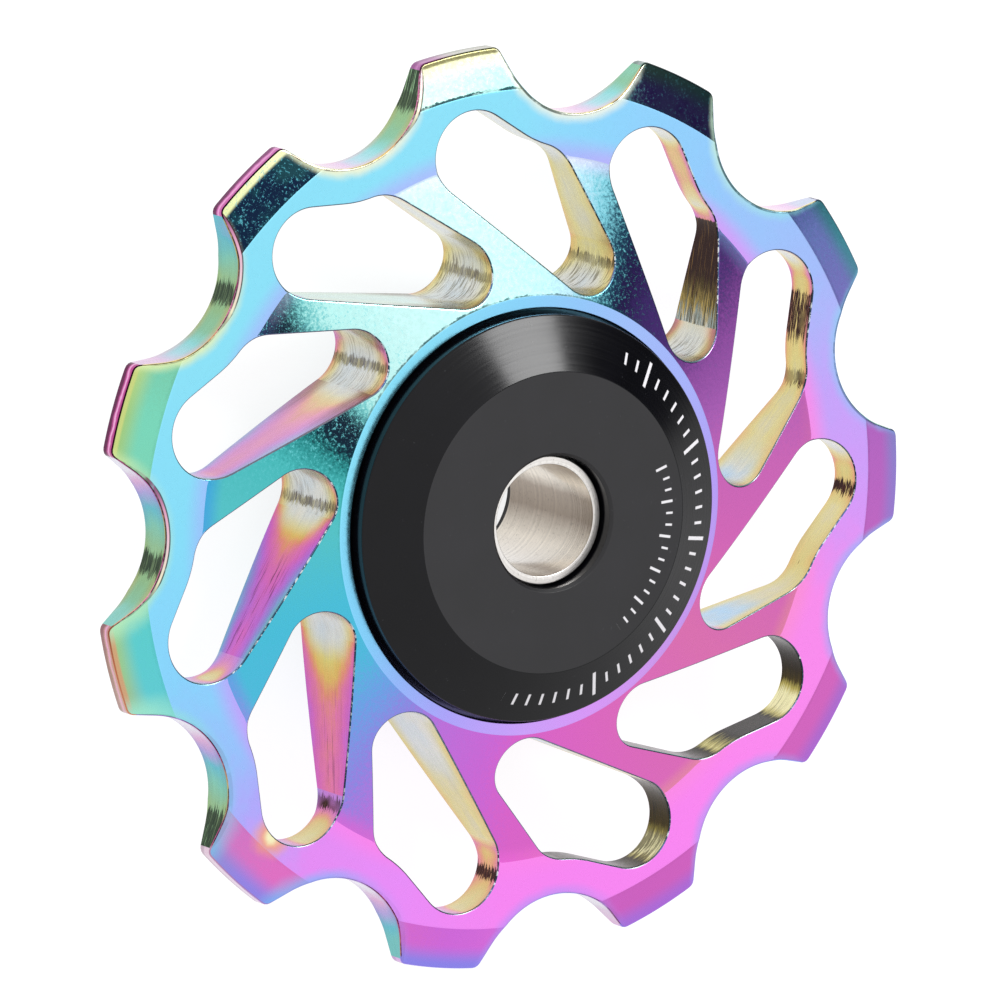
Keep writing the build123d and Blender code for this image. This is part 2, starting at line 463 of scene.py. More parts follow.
class Value:
    """A node's output, for sums and products with numbers and other outputs."""

    def __init__(self, nodes, socket):
        self.nodes, self.socket = nodes, socket

    def __add__(self, other):
        return self.nodes.math("ADD", self, other)

    def __sub__(self, other):
        return self.nodes.math("SUBTRACT", self, other)

    def __rsub__(self, other):
        return self.nodes.math("SUBTRACT", other, self)

    def __mul__(self, other):
        return self.nodes.math("MULTIPLY", self, other)

    def __truediv__(self, other):
        return self.nodes.math("DIVIDE", self, other)


class Nodes:
    """A short way to write the nodes of a material or of the world."""

    def __init__(self, owner, output):
        owner.use_nodes = True
        self.tree = owner.node_tree
        self.tree.nodes.clear()
        self.surface = self.tree.nodes.new(output).inputs["Surface"]

    def put(self, socket, value):
        if isinstance(value, Value):
            self.tree.links.new(value.socket, socket)
        else:
            socket.default_value = value

    def node(self, kind, inputs=(), output=0, **settings):
        """One output of a new node. Its inputs are given in order, or by number or name in a dict."""
        node = self.tree.nodes.new("ShaderNode" + kind)
        for name, value in settings.items():
            setattr(node, name, value)
        for key, value in inputs.items() if isinstance(inputs, dict) else enumerate(inputs):
            self.put(node.inputs[key], value)
        return Value(self, node.outputs[output])

    def split(self, vector):
        return [Value(self, part) for part in self.node("SeparateXYZ", [vector]).socket.node.outputs]

    def math(self, kind, a, b=0.0):
        return self.node("Math", [a, b], operation=kind)

    def span(self, value, low, high, to_low=0.0, to_high=1.0, smooth=False):
        kind = "SMOOTHSTEP" if smooth else "LINEAR"
        return self.node("MapRange", [value, low, high, to_low, to_high], interpolation_type=kind)


class Paint(Nodes):
    """One material's nodes. Colours are six hex digits, and places are in millimetres."""

    def __init__(self, name):
        self.material = bpy.data.materials.new(name)
        super().__init__(self.material, "ShaderNodeOutputMaterial")
        shader = self.node("BsdfPrincipled")
        self.put(self.surface, shader)
        self.shader = shader.socket.node
        place = self.node("TexCoord", output="Object")
        self.mm = self.node("VectorMath", {0: place, "Scale": 1000}, operation="SCALE")
        self.x, self.y, self.z = self.split(self.mm)
        self.radius = self.length(self.x, self.y)
        self.angle = self.turn(self.x, self.y)
        nx, ny, self.nz = self.split(Value(self, place.socket.node.outputs["Normal"]))
        self.facing = self.turn(nx, ny)

    def length(self, x, y):
        return self.math("SQRT", x * x + y * y)

    def turn(self, x, y):
        """The direction of (x, y) as a share of a turn from +X towards +Y."""
        return self.math("FRACT", self.math("ARCTAN2", y, x) / (2 * math.pi) + 1)

    def ramp(self, value, stops):
        found = self.node("ValToRGB", [value])
        elements = found.socket.node.color_ramp.elements
        while len(elements) < len(stops):
            elements.new(0.5)
        for element, (at, code) in zip(elements, stops.items()):
            element.position = at
            element.color = linear(code) if isinstance(code, str) else (code, code, code, 1)
        return found

    def around(self, stops, value=None):
        """Colours or numbers by angle in degrees. Stops that start at 0 end at 360 with their first value."""
        if 0 in stops:
            stops = {**stops, 360: stops.get(360, stops[0])}
        return self.ramp(self.angle if value is None else value, {at / 360: code for at, code in stops.items()})

    def mix(self, share, a, b, kind="MIX"):
        tones = []
        for value in (a, b):
            if isinstance(value, (int, float)):
                value = (value, value, value, 1)
            tones.append(linear(value) if isinstance(value, str) else value)
        inputs = {FACTOR: share, COLOUR_A: tones[0], COLOUR_B: tones[1]}
        return self.node("Mix", inputs, MIXED_COLOUR, data_type="RGBA", blend_type=kind)

    def times(self, colour, other):
        return self.mix(1.0, colour, other, "MULTIPLY")

    def noise(self, scale, detail=2.0, roughness=0.5, vector=None):
        place = self.mm if vector is None else vector
        inputs = {"Vector": place, "Scale": scale, "Detail": detail, "Roughness": roughness}
        return self.node("TexNoise", inputs, "Fac")

    def ragged(self, value, amount, *noise):
        """A value with noise of that many units added."""
        return value + (self.noise(*noise) - 0.5) * amount

    def bump(self, height_value, strength, distance=0.00002):
        inputs = {"Strength": strength, "Distance": distance, "Height": height_value}
        self.put(self.shader.inputs["Normal"], self.node("Bump", inputs))

    def set(self, **values):
        for name, value in values.items():
            self.put(self.shader.inputs[name.replace("_", " ")], value)
        return self.material


def coated(name, colour_of, roughness=0.3):
    """The iridescent coating: colour_of paints it, and fine grain breaks up its gloss."""
    paint = Paint(name)
    colour = colour_of(paint)
    grain = paint.noise(5, 4, 0.6)
    paint.bump(grain, 0.12)
    rough = paint.span(grain, 0.3, 0.7, roughness - 0.05, roughness + 0.05)
    return paint.set(Base_Color=colour, Metallic=1.0, Roughness=rough)


def shaken(p, value, degrees, scale=7.0):
    """An angle, as a share of a turn, with fine grain added, so that sharp changes of colour sparkle."""
    return p.ragged(value, degrees / 360, scale, 3, 0.75)


def seat_gap(p):
    """The millimetres from a point of the face to the nearest seat's wall, and the way that wall faces there."""
    share = p.math("FRACT", p.angle * teeth + 0.25) - 0.5
    turn = share * (2 * math.pi / teeth)
    across = seat_ring - p.radius * p.math("COSINE", turn)
    along = p.radius * p.math("SINE", turn) * -1
    bearing = p.math("ARCTAN2", along, across) / (2 * math.pi)
    seat = p.angle - share / teeth
    return p.length(across, along) - seat_r, p.math("FRACT", seat + bearing + 1)


def fringe(p, colour, width):
    """A painted sheen beside the seats, which turns the coating one colour further there, and along some of them a
    painted shade line and a painted glint line.
    """
    gap, faces = seat_gap(p)
    wavy = p.ragged(gap, 0.25, 1.2, 3)
    # The painted sheen's colours by angle, blended in close to the seat walls.
    stops = {0: "b098fc", 60: "98a8fc", 95: "80c4ff", 130: "98e4f0", 150: "d8f8dc", 165: "f8fcec", 200: "fcfce0",
        230: "f4f8bc", 260: "dcf4b0", 288: "a8ecc8", 308: "78dcf0", 328: "78b8ff", 345: "a0a4fc"}
    share = p.span(wavy, 0.02, width, 1, 0, True) * p.around({0: 0.6, 110: 0.6, 140: 0.8, 170: 0.95, 290: 0.95,
        320: 0.75})
    share = share * p.around({0: 1, 110: 1, 150: 0.8, 165: 1, 205: 1, 232: 0.8, 262: 0.6, 285: 0.35, 310: 0.3,
        335: 0.6}, faces)
    colour = p.mix(share, colour, p.around(stops))
    # A painted shade line along the seat edges. Its width depends on the way the wall faces, and it is broken up along
    # its length.
    reach = gap - p.around({0: 0.11, 110: 0.16, 165: 0.15, 180: 0.12, 228: 0.12, 243: 0.28, 300: 0.28, 325: 0.14},
        faces)
    broken = p.span(p.noise(0.8, 3, 0.6), 0.38, 0.48, 0.25, 1)
    dark = p.around({0: 0.1, 80: 0.1, 98: 0.5, 125: 0.8, 150: 0.9, 284: 0.9, 296: 0.2, 318: 0.15})
    facing_dark = p.around({0: 0.6, 110: 0.9, 160: 0.9, 175: 0.5, 225: 0.45, 242: 0.95, 315: 0.95, 340: 0.6}, faces)
    line = p.span(reach, -0.02, 0.01, 1, 0) * broken * (dark * facing_dark)
    colour = p.mix(line, colour, p.around({0: "283048", 120: "10303c", 165: "1c3434", 182: "24382c", 205: "40142c",
        270: "3c1c20", 310: "302038"}))
    # A painted glint line, a little way out from the seat edges.
    glint_line = p.span(gap, 0.07, 0.1) * p.span(gap, 0.19, 0.22, 1, 0)
    glint_line = glint_line * p.around({232: 0, 243: 0.95, 290: 0.95, 312: 0.3, 325: 0}, faces) * p.around({145: 0, 155: 1,
        290: 1, 305: 0})
    return p.mix(glint_line, colour, p.around({0: "fcf4d0", 240: "fcf8d0", 255: "f8e8d8", 268: "f8d4e0", 285: "f0b4d0",
        307: "b85898"}, faces))


def painted_highlight_spot(p, colour):
    """A painted highlight: one small warm spot of light where the lower left of the rim meets a tooth."""
    away = p.ragged(p.length(p.x - 14.2, p.y + 12.55), 0.4, 1.5, 2)
    colour = p.mix(p.span(away, 0.35, 1.25, 0.9, 0, True), colour, "f8a878")
    return p.mix(p.span(away, 0.1, 0.6, 1, 0, True), colour, "fcf8c8")


def rim_colour(p):
    calm = p.around({0: "fa8af6", 25: "fc8af6", 45: "ff8cf4", 72: "fc90f0", 84: "dc9cfc", 104: "c8a8fe",
        122: "a8c0fe", 145: "98ceff", 165: "92d8ff", 185: "90e4fc", 215: "90e4fc", 245: "8ee4fa", 270: "8ae0fc",
        290: "8cd6ff", 304: "9cc4ff", 314: "b4acff", 326: "e890f8", 342: "ec90fc"}, shaken(p, p.angle, 12, 0.5))
    tint = p.around({0: "ff8af2", 40: "ff90e8", 72: "ff94da", 104: "ff90ee", 130: "dc9cfc", 150: "d8a0fc",
        170: "b0b8ff", 200: "b0bcff", 235: "a8c0ff", 270: "a0c4ff", 290: "b0b4ff", 305: "d09cff", 322: "f88cf8",
        335: "ff88ee"})
    colour = p.mix(p.span(p.radius, crease_r, crease_r + 1.2, 0.85, 0, True), calm, tint)
    return painted_highlight_spot(p, fringe(p, colour, 0.65))


def crease_shade_line(p, colour, line, low, high, masks):
    """A fine painted shade line along a crease, between two radii, as strong as masks says around the wheel."""
    ragged = p.ragged(p.radius, 0.3, 4.5, 3, 0.7)
    band = p.span(p.radius, low, low + 0.03) * p.span(ragged, high - 0.04, high, 1, 0)
    band = band * p.span(p.noise(1.3, 3, 0.6), 0.38, 0.5, 0.35, 1)
    return p.mix(band * p.around(masks), colour, line)


def glinting(p, colour, tone, amounts):
    """Painted glints: small bright specks of painted highlight in the dark parts of the coating."""
    glint_specks = p.math("MAXIMUM", p.span(p.noise(7, 3, 0.85), 0.58, 0.63), p.span(p.noise(3.5, 4, 0.85), 0.6, 0.64))
    return p.mix(glint_specks * p.around(amounts), colour, tone)


# The spoke cones: the coating's colours by angle, with painted reflections in them. The dark navy and teal parts stand
# in for dark surroundings and the near-white mint parts for bright ones. The specks are painted glints, and the line
# by the land is painted shade.
def spoke_colour(p):
    slant = p.around({170: 0.0, 205: 2.1 / 360, 250: 2.1 / 360, 285: 0.0})
    turn = shaken(p, p.angle, 20) - (crease_r - p.radius) * slant
    colour = p.around({0: "e068d0", 20: "e46cc8", 56: "e476b8", 80: "dc6cc0", 96: "d46cc0", 112: "b868c4",
        124: "a45cb8", 134: "5c3c88", 146: "443070", 153: "261c48", 158: "245064", 163: "80d0e0", 169: "bce4f4",
        180: "bcf2f0", 206: "c8f4f2", 222: "bcf4f0", 227: "70c8c8", 230: "1c2838", 237: "182c3c", 242: "309090",
        250: "4cbcbc", 264: "58c4c8", 290: "4cc0dc", 304: "54bce0", 314: "70a4ea", 324: "9488e6", 334: "c074e0",
        350: "d06cdc"}, turn)
    edge = p.around({0: "f06cdc", 30: "ec8cb0", 60: "ec8ca8", 90: "dc74b8", 110: "c868c0", 125: "8c70c0",
        140: "7088c0", 170: "dce0ff", 215: "d0e8ff", 235: "283058", 262: "40a8e0", 295: "6ca0e8", 310: "a884e8",
        328: "d86cdc", 345: "dc78d4"}, shaken(p, p.angle, 16))
    colour = p.mix(p.span(p.radius, crease_r - 0.8, crease_r, 0, 0.85, True), colour, edge)
    colour = glinting(p, colour, "7cd8e0", {0: 0, 104: 0.0, 128: 0.05, 144: 0.1, 152: 0.3, 158: 0.75, 166: 0.2,
        176: 0, 214: 0, 224: 0.7, 250: 0.7, 262: 0.05})
    return crease_shade_line(p, colour, "0c4a54", land_r + 0.04, land_r + 0.15, {140: 0, 155: 0.7, 215: 0.9, 235: 0.6,
        260: 0.2, 290: 0})


# The tooth bevels: the coating's colours by angle, with painted reflections in them. The dark navy and teal parts and
# the navy patches stand in for dark surroundings, and the near-white tips for bright ones. The line at the tip edge is
# painted shade and highlight, the specks are painted glints, and the line at the crease is painted shade.
def bevel_colour(p):
    turn = shaken(p, p.angle, 14)
    colour = p.around({0: "dc70e0", 20: "d466c8", 40: "dc68c8", 66: "dc6cc8", 82: "c86ccc", 98: "bc6ccc",
        112: "8c80d4", 126: "7c8cd8", 136: "3c4c90", 147: "282448", 160: "242444", 172: "98dcd4", 182: "b4ece6",
        198: "ccece0", 207: "488c8c", 214: "20424c", 232: "1c5058", 243: "7cc8a8", 254: "7cd8bc", 268: "80d4b4",
        282: "60d0d0", 296: "64ccd8", 312: "d07cc8", 322: "e474c8", 338: "e070c8", 352: "d46ce0"}, turn)
    tip = p.around({0: "9488f0", 24: "b470e0", 57: "b870d8", 90: "9c84d8", 122: "50a0b0", 140: "143038",
        168: "283830", 175: "e8e8c0", 200: "e8e4b4", 206: "f8f8c8", 222: "f4f8c0", 235: "dcec98", 254: "a4cc80",
        286: "a0cc90", 300: "a0a8a0", 319: "9888e8", 352: "9088f0"})
    soft = p.span(p.radius, 20.3, 21.35, 0, 1, True)
    sharp = p.span(p.radius, 21.05, 21.22, 0, 1, True)
    patch = p.span(p.noise(0.55, 3, 0.6), 0.42, 0.56) * p.around({140: 0, 150: 0.7, 164: 0.7, 170: 0, 206: 0,
        213: 0.85, 228: 0.85, 236: 0})
    colour = p.mix(patch, colour, p.around({0: "241440", 170: "201240", 200: "141c3c", 360: "141c3c"}))
    colour = p.mix(p.mix(p.around({200: 0, 206: 1, 236: 1, 242: 0}), soft, sharp), colour, tip)
    last = p.span(p.radius, 21.18, 21.3, 0, 1, True) * p.around({168: 0, 176: 0.9, 198: 0.9, 203: 0, 240: 0,
        246: 0.8, 295: 0.8, 302: 0})
    colour = p.mix(last, colour, p.around({198: "68643c", 204: "c8c870", 262: "d4dc88", 278: "dc9c78"}))
    colour = glinting(p, colour, "64c0d0", {112: 0, 122: 0.2, 140: 0.5, 148: 0.3, 152: 0.08, 160: 0.15, 165: 0.4,
        175: 0, 203: 0.1, 215: 0.8, 235: 0.6, 245: 0})
    colour = crease_shade_line(p, colour, "0c3c44", bevel_r + 0.03, bevel_r + 0.19, {0: 0, 150: 0.2, 172: 0.3, 180: 0.95,
        199: 0.95, 206: 0.2, 250: 0.1})
    width = p.around({0: 0.25, 130: 0.2, 240: 0.22, 262: 0.4, 300: 0.75, 325: 0.5, 345: 0.3}) * 2
    return painted_highlight_spot(p, fringe(p, colour, width))


def land_colour(p):
    return p.around({0: "d0a4ff", 20: "dc9cfc", 45: "d09cf0", 70: "c49cf4", 100: "b8a4fc", 125: "acb8ff",
        150: "a4c4ff", 165: "98ccff", 185: "8ed8ff", 215: "8ee4ff", 255: "8ee6ff", 280: "88dcff", 300: "88d4ff",
        316: "98bcff", 334: "b0a8ff"})


def streaks(p, scale=14.0, along=0.5):
    """Fine tool marks that run round a wall at a steady height."""
    return p.noise(1.0, 3, 0.65, p.node("CombineXYZ", [p.x * along, p.y * along, p.z * scale]))


def film(p, thickness):
    """The colours that the coating runs through as it gets thicker, from bare silver to sea green."""
    return p.ramp(thickness, {0.0: "bac2ca", 0.1: "ccc8a8", 0.2: "d8ca74", 0.29: "dcb660", 0.37: "e08c74",
        0.44: "dc74a0", 0.54: "d064b8", 0.65: "b868cc", 0.76: "9480cc", 0.86: "7c9ccc", 0.94: "70b0b8",
        1.0: "78bca4"})


def broken_band(p, lines, low, high, stretch=26):
    """1 where a wall faces between two angles, with an edge broken up along the tool marks."""
    ragged = p.facing + (lines - 0.5) * (stretch / 360)
    return p.span(ragged, (low - 1.5) / 360, low / 360) * p.span(ragged, high / 360, (high + 1.5) / 360, 1, 0)


def wall_height(p):
    """How far up a window's wall, from 0 at mid height to 1 at either edge."""
    top = p.span(p.radius, land_r, crease_r, half_hub, half_rim)
    return p.math("ABSOLUTE", p.z) / top


def filmed_wall(p, factors, paleness, tint, power, silver_end, extra=0.0):
    """A window's wall: silver by the hub, with the coating thicker outwards and towards both faces."""
    lines = streaks(p)
    up = wall_height(p)
    reach = p.ramp(p.span(p.radius, 10.4, 15.4), {0: 0.0, 0.1: 0.19, 0.2: 0.34, 0.32: 0.45, 0.48: 0.54, 0.62: 0.57,
        1: 0.57})
    share = p.around(factors, p.facing) * p.around({0: 0.9, 60: 0.8, 112: 0.6, 130: 0.7, 140: 1, 152: 0.8,
        164: 0.34, 190: 0.34, 204: 1})
    thick = reach * share + extra
    thick = thick + p.math("POWER", up, power) * p.around({0: 0.15, 45: 0.2, 58: 0.08, 80: 0.08, 112: 0.2,
        122: 0.34, 146: 0.34, 158: 0.16, 188: 0.16, 200: 0.38, 300: 0.38, 322: 0.14})
    thick = p.ragged(thick, 0.14, 0.9, 3)
    thick = thick + (lines - 0.5) * 0.12
    colour = p.mix(p.around(paleness, p.facing), film(p, thick), tint)
    silver = p.mix(p.span(p.noise(0.6, 3), 0.35, 0.65), "ccd4d8", p.around({0: "a4d0f4", 100: "a8d0f0",
        125: "dcdad0", 340: "dcdad0"}))
    tail = p.span(p.radius, p.math("MAXIMUM", 10.5, silver_end - 2.2), silver_end, 1, 0, True) * p.span(up, 0.4,
        0.92, 0.92, 0.0, True)
    colour = p.mix(tail, colour, silver)
    return p.times(colour, p.span(lines, 0.3, 0.7, 0.9, 1.06)), lines


def seat_colour(p):
    lines = streaks(p)
    turn = p.ragged(p.facing, 14 / 360, 0.8, 2)
    colour = p.around({0: "dcc8dc", 40: "90c8a0", 90: "70c0c8", 140: "d0a0c8", 172: "ecd0e4", 186: "e0bce0",
        200: "a8d4e0", 212: "88d0d0", 226: "84bc9c", 242: "8cb484", 262: "90b88c", 276: "7cc0ac", 290: "58b4c4",
        301: "a494d0", 310: "cc94c4", 320: "d0c8d8", 336: "e4e4ee"}, turn)
    edges = p.span(p.math("ABSOLUTE", p.z), 0.3, 0.95, 0, 0.6, True)
    colour = p.mix(edges, colour, p.around({0: "d8c8e0", 172: "f0d0d8", 205: "e0b0b8", 226: "c0ac70", 245: "a8a468",
        262: "98b070", 280: "64a8a8", 300: "7c80c0", 330: "d8c8e0"}, turn))
    colour = p.mix(broken_band(p, lines, 246, 259) * 0.95, colour, p.mix(p.span(lines, 0.5, 0.62), "1c2c20", "5c7050"))
    return p.times(colour, p.span(lines, 0.3, 0.7, 0.92, 1.06))


def tip_colour(p):
    colour = p.around({0: "c890d8", 60: "c080d0", 110: "504878", 150: "182848", 170: "a8c8b8", 182: "b4b8a8",
        189: "c0c4b8", 191.5: "a868a0", 205: "b070a8", 221: "c868ac", 240: "b84c90", 256: "b04488", 272: "b05c88",
        286: "c09c88", 305: "d8c0c8", 330: "dcc8e4"})
    # Painted shade darkens the lower part of the tip wall, and a painted highlight adds a thin bright pink glint line
    # just above its middle.
    level = p.ragged(p.z, 0.3, 1.5, 3)
    low = p.span(level, -0.12, 0.02, 1, 0, True)
    colour = p.mix(low * p.around({0: 0.2, 200: 0.3, 225: 0.85, 265: 0.85, 290: 0.3}), colour, "441434")
    glint = p.span(level, 0.0, 0.1, 0, 1, True) * p.span(level, 0.14, 0.24, 1, 0, True)
    return p.mix(glint * p.around({0: 0.1, 200: 0.2, 222: 0.7, 262: 0.8, 292: 0.5, 310: 0.1}), colour, "f0b0dc")


window_factors = {0: 0.6, 30: 1.2, 160: 1.4, 180: 0.9, 192: 0.35, 210: 0.35, 230: 0.45, 250: 0.6, 268: 0.6,
    282: 0.55, 292: 0.7, 303: 0.45, 312: 0.15, 330: 0.1, 345: 0.3}
window_paleness = {0: 0.2, 225: 0.2, 250: 0.1, 290: 0.1, 310: 0.3, 330: 0.45}
long_side_faces = 38.6  # degrees, for the window at +Y
worn_tails = {60: 0.1, 100: 0.35, 125: 0.7, 165: 0.75, 198: 0.7, 215: 0.5, 231: 0.4, 263: 0.3, 296: 0.1}


def worn_tail(p, colour, marks):
    """Dark tool marks on the wall by the hub."""
    worn = p.span(p.radius, 11.6, 13.0, 1, 0, True) * p.around(worn_tails)
    return p.mix(worn * p.span(marks, 0.5, 0.62), colour, p.mix(p.span(p.noise(0.7, 2), 0.4, 0.6), "443828", "6c6440"))


def brown_band(p, colour, lines, marks):
    """A dark brown band where the wall turns, golden by the hub."""
    brown = p.mix(p.span(lines, 0.52, 0.62), "301412", p.mix(p.span(marks, 0.4, 0.6), "6c4430", "401a1a"))
    lower = p.mix(p.span(marks, 0.42, 0.58), "5c5424", "c4bc88")
    brown = p.mix(p.span(p.radius, 12.2, 13.8, 0.8, 0, True) * p.span(lines, 0.42, 0.55), brown, lower)
    outer = p.span(marks, 0.3, 0.38) * p.span(p.noise(0.5, 2), 0.38, 0.5, 0.5, 1)
    solid = p.mix(p.span(p.radius, 11.6, 13.0, 1, 0, True), outer, p.span(p.noise(0.8, 2), 0.35, 0.6, 0.35, 0.8))
    return p.mix(broken_band(p, lines, 250, 265, 36) * solid, colour, brown)


def window_colour(p):
    """Most windows' walls. The coating is thicker where the outer end begins, just past the long side."""
    window = p.math("FLOOR", (0.25 - p.angle) * teeth + 0.5) / teeth
    beyond = p.math("FRACT", long_side_faces / 360 + 2.05 - p.facing - window) - 0.05
    head = p.span(beyond, 0.0, 0.11, 0.3, 0, True) * p.span(p.radius, 13.4, 14.2)
    head = head * p.math("LESS_THAN", beyond, 0.3) * p.around({225: 0, 240: 1, 330: 1, 340: 0})
    silver_end = p.around({0: 0.64, 48: 0.66, 56: 0.79, 78: 0.79, 84: 0.72, 108: 0.72, 118: 0.635, 360: 0.635}) * 20
    colour, lines = filmed_wall(p, window_factors, window_paleness, "e8e8e8", 2.2, silver_end, head)
    marks = streaks(p, 9.0, 0.9)
    return brown_band(p, worn_tail(p, colour, marks), lines, marks)


def dull_window_colour(p):
    """The walls at the lower right: dark olive, with painted glints by the way each wall faces, broken up along the
    streaks.
    """
    lines = streaks(p)
    marks = streaks(p, 9.0, 0.9)
    olive_and_glints = p.around({0: "28281a", 165: "4c3c54", 190: "14120c", 202: "1c180c", 211: "c4bc78", 222: "ece8b4",
        243: "ece8b4", 253: "b4a858", 261: "443814", 275: "281e0a", 295: "181208", 320: "1c1810"},
        p.facing + (marks - 0.5) * (24 / 360))
    olive_and_glints = p.mix(p.span(marks, 0.62, 0.5) * p.around({0: 0.4, 8: 0.75, 38: 0.75, 44: 0, 360: 0}), olive_and_glints, "3c3010")
    return p.mix(p.span(lines, 0.52, 0.62) * p.around({0: 0.6, 38: 0.6, 46: 0.4}), olive_and_glints, "1c1c10")


def streaked_window_colour(p):
    """One window, whose longer wall is brown outwards and streaked with gold and silver by the hub."""
    colour, lines = filmed_wall(p, window_factors, window_paleness, "e8e8e8", 3.0, 14.4)
    marks = streaks(p, 9.0, 0.9)
    colour = worn_tail(p, colour, marks)
    colour = p.mix(p.span(p.radius, 12.8, 13.6, p.span(wall_height(p), 0.6, 0.95) * 0.7, 0), colour, "8c7830")
    outer = p.mix(p.span(lines, 0.6, 0.68), "2c1612", "7c5c30")
    golden = p.mix(p.span(lines, 0.42, 0.54), "4c4018", p.mix(p.span(marks, 0.42, 0.56), "3c3014", "c0a860"))
    silver = p.mix(p.span(lines, 0.42, 0.52), "54482c", p.mix(p.span(marks, 0.42, 0.56), "90a09c", "dce4e4"))
    level = p.radius + (marks - 0.5) * 3.5
    side = p.mix(p.span(level, 13.8, 14.6), p.mix(p.span(level, 12.9, 13.7), silver, golden), outer)
    return p.mix(broken_band(p, marks, 260, 288, 8), colour, side)


def long_side_colour(p):
    factors = {0: 0.3, 140: 0.5, 172: 0.1, 190: 0.5, 204: 0.9, 222: 1.0, 240: 1.08, 256: 0.95, 272: 0.84, 290: 0.6,
        304: 0.3, 330: 0.2}
    paleness = {0: 0.2, 160: 0.5, 174: 0.8, 184: 0.55, 204: 0.28, 220: 0.12, 238: 0.0, 285: 0.0, 310: 0.1}
    tint = p.around({0: "e8e8e8", 160: "d0f0ea", 184: "d0ecea", 200: "f4e4ec"}, p.facing)
    silver_end = p.around({0: 0.63, 150: 0.6, 190: 0.5625, 280: 0.5625, 300: 0.68}, p.facing) * 20
    colour, lines = filmed_wall(p, factors, paleness, tint, 2.0, silver_end)
    wedge = p.span(p.radius, 11.2, 12.6, 0.85, 0) * p.span(wall_height(p), 0.45, 0.75)
    wedge = wedge * p.around({155: 0, 166: 0.9, 204: 0.9, 216: 0.3, 236: 0}, p.facing)
    colour = p.mix(wedge, colour, p.mix(p.span(lines, 0.4, 0.6), "4c3828", "94745c"))
    marks = p.span(streaks(p, 7.0, 0.3), 0.58, 0.63)
    inner = p.span(wall_height(p), 0.3, 0.7, 1, 0) * p.span(p.radius, 11.6, 12.4)
    return p.mix(marks * inner * p.around({0: 0, 215: 0, 236: 0.75, 250: 0.7, 276: 0.35, 290: 0.1}, p.facing),
        colour, "4c1c44")


def edge_colour(stops, dark, outline, glints, unbroken, tips=None):
    """A rounded edge, with its light painted in: a painted shade line beside the face, then a brighter painted
    highlight line, with painted glint dots. Both lines are broken up along the edge.
    """

    def colour(p):
        up = p.math("ABSOLUTE", p.nz)
        run = p.span(p.noise(1.1, 3, 0.6), 0.4, 0.5, unbroken, 1)
        colour = p.around(stops, p.facing)
        colour = p.mix(p.span(up, 0.6, 0.7) * run * p.around(outline, p.facing), colour, dark)
        glint_dots = p.span(p.noise(4.0, 3, 0.75), 0.52, 0.56)
        colour = p.mix(glint_dots * p.around(glints, p.facing), colour, "f4fcff")
        if tips:
            colour = p.mix(p.span(p.radius, 21.1, 21.2), colour, p.around(tips))
        return colour

    return colour


# Painted reflections along the rounded tooth edges, by the way they face: pale and golden highlights, pink glints and
# dark parts.
tooth_edge_reflections = {0: "98a0f0", 60: "9098e8", 100: "5c90d0", 140: "88c8c8", 160: "e8f4e0", 180: "f4f0b8",
    205: "e8d088", 222: "e0b080", 236: "e890b0", 250: "d070a4", 262: "8c3464", 276: "c0b068", 298: "a84c80",
    318: "94406c", 335: "b088d0"}
tooth_shade_line = {0: 0.1, 100: 0.3, 150: 0.5, 180: 0.85, 310: 0.95, 335: 0.6}
tooth_glints = {0: 0, 150: 0, 170: 0.3, 190: 0, 228: 0.1, 240: 0.35, 254: 0.1}
# The painted shade and highlight lines along the edges round the tooth tips, by angle.
tooth_tips = {0: "8c8cec", 24: "9078d8", 57: "9880d8", 80: "5868a8", 100: "384868", 125: "1c4050", 155: "1c3034",
    170: "3c4030", 188: "4c4c34", 192: "542844", 200: "5c3c3c", 212: "24101c", 254: "2c0c20", 275: "4c2020",
    286: "c07454", 300: "d8a080", 319: "b088c0", 352: "8c84e8"}
tooth_edge = edge_colour(tooth_edge_reflections, "201018", tooth_shade_line, tooth_glints, 0.0, tooth_tips)
# Painted reflections along the rounded window edges, by the way they face.
window_edge_reflections = {0: "7c88b0", 60: "7898c0", 150: "68a4b0", 190: "8c9c94", 215: "8c8c94", 232: "6c8cc4",
    244: "5c7c98", 252: "3c5468", 296: "304450", 312: "708890", 335: "8088b0"}
window_shade_line = {160: 0.6, 200: 0.5, 222: 0.4, 230: 0.2, 242: 0.2, 252: 0.8, 262: 0.6, 274: 0.5, 282: 0.9,
    300: 0.9, 330: 0.6}
window_glints = {0: 0.05, 220: 0.0, 230: 0.85, 262: 0.8, 267: 0.25, 278: 0.3, 296: 0.8, 310: 0.1}
window_edge = edge_colour(window_edge_reflections, "1c2c3c", window_shade_line, window_glints, 0.6)


def hub_colour(p):
    return p.around({0: "605880", 180: "406878"})


wheel_materials = [
    coated("coat_rim", rim_colour),
    coated("coat_spoke", spoke_colour, 0.24),
    coated("coat_bevel", bevel_colour, 0.24),
    coated("coat_land", land_colour, 0.2),
    coated("coat_seat", seat_colour, 0.26),
    coated("coat_tip", tip_colour, 0.26),
    coated("coat_window", window_colour, 0.26),
    coated("coat_long_side", long_side_colour, 0.26),
    coated("coat_tooth_edge", tooth_edge, 0.24),
    coated("coat_window_edge", window_edge, 0.24),
    coated("coat_hub", hub_colour),
    coated("coat_dull_window", dull_window_colour, 0.26),
    coated("coat_streaked_window", streaked_window_colour, 0.26),
]
wheel = wheel_mesh().build("wheel_body", wheel_materials)
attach(wheel, "wheel")
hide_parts("toothed_wheel")


